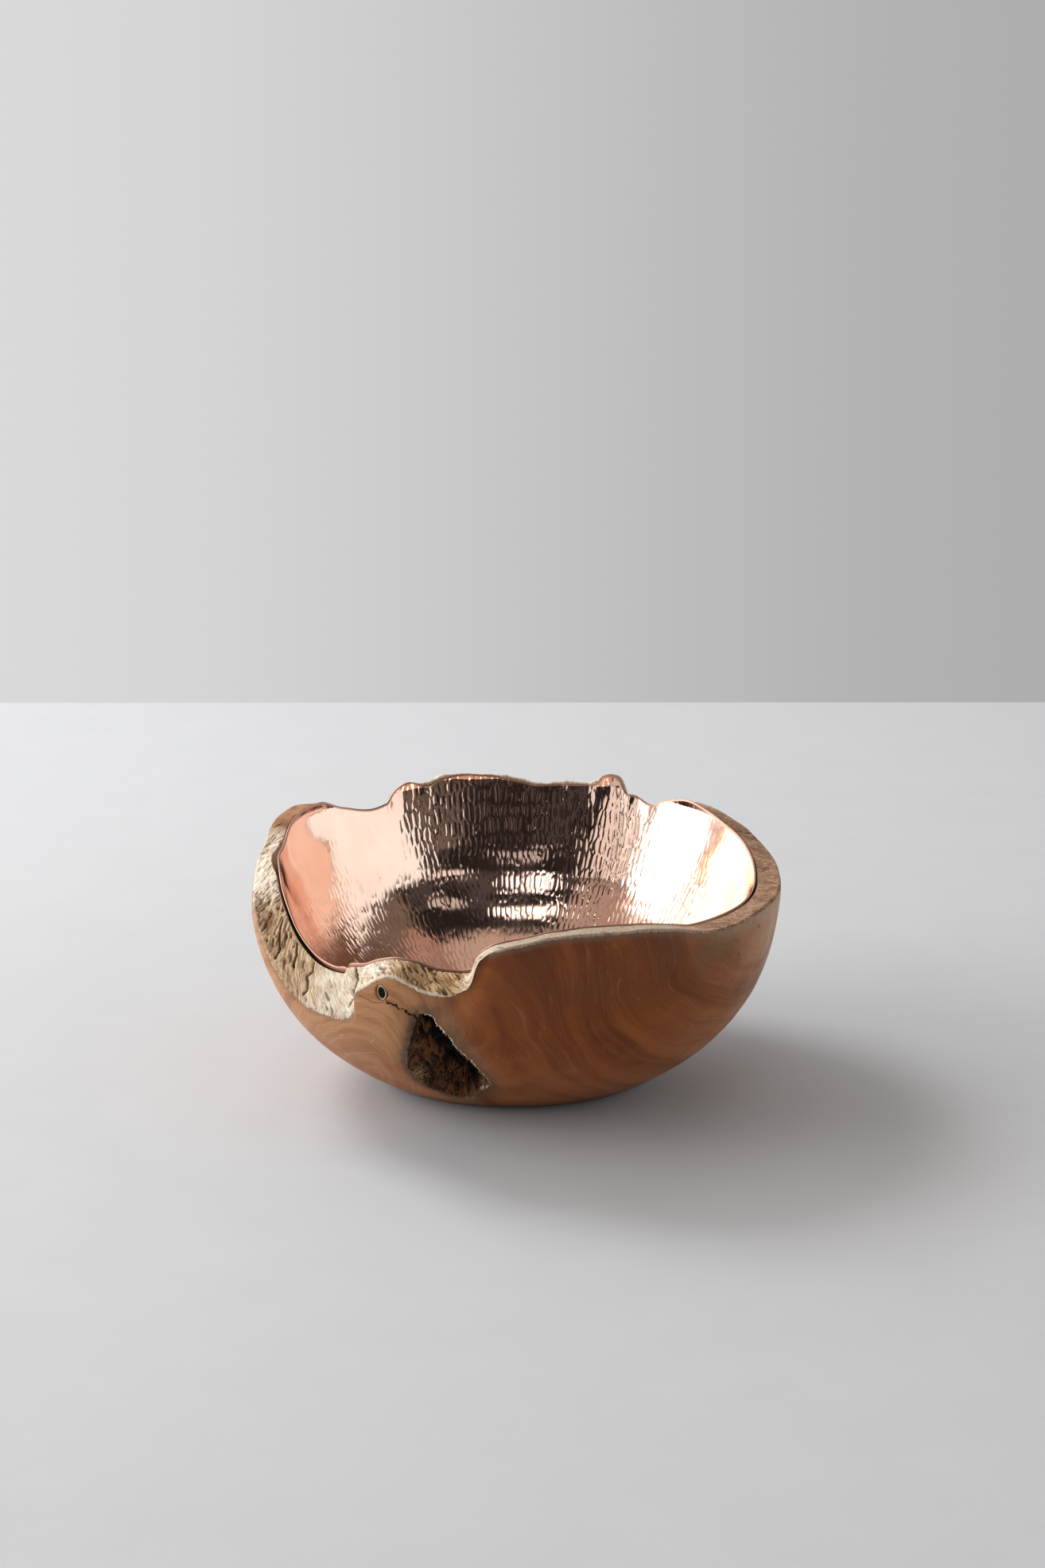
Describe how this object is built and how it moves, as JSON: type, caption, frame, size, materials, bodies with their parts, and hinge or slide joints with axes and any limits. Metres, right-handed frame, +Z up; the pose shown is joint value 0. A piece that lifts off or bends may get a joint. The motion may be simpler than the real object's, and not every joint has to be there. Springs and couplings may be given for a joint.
{
  "type": "bowl",
  "caption": "Live-edge bowl carved from a teak root, with an uneven broken rim and a rotted root hollow outside, lined with hand-hammered copper sheet; stands on a flat oval foot.",
  "frame": {"origin": "centre of the foot's underside, at the centre of the bowl's plan, on the surface that the bowl stands on", "axes": "+X along the longer side of the oval plan, +Y towards the tall back of the rim, away from the low broken edge and the root hollow, +Z up"},
  "size_m": [0.324, 0.3093, 0.1519],
  "materials": {
    "teak": "smooth oiled teak root, red-brown, with a raw pale fibrous rim",
    "dead_knot": "pale dead wood, dark inside",
    "copper": null,
    "adhesive": "hardened amber resin glue"
  },
  "bodies": {
    "root": {"teak_bowl": "teak", "dead_knot": "dead_knot", "copper_liner": "copper", "adhesive_bed": "adhesive", "adhesive_dab_1": "adhesive", "adhesive_dab_2": "adhesive", "adhesive_dab_3": "adhesive", "adhesive_dab_4": "adhesive", "adhesive_dab_5": "adhesive", "adhesive_dab_6": "adhesive"}
  },
  "joints": []
}
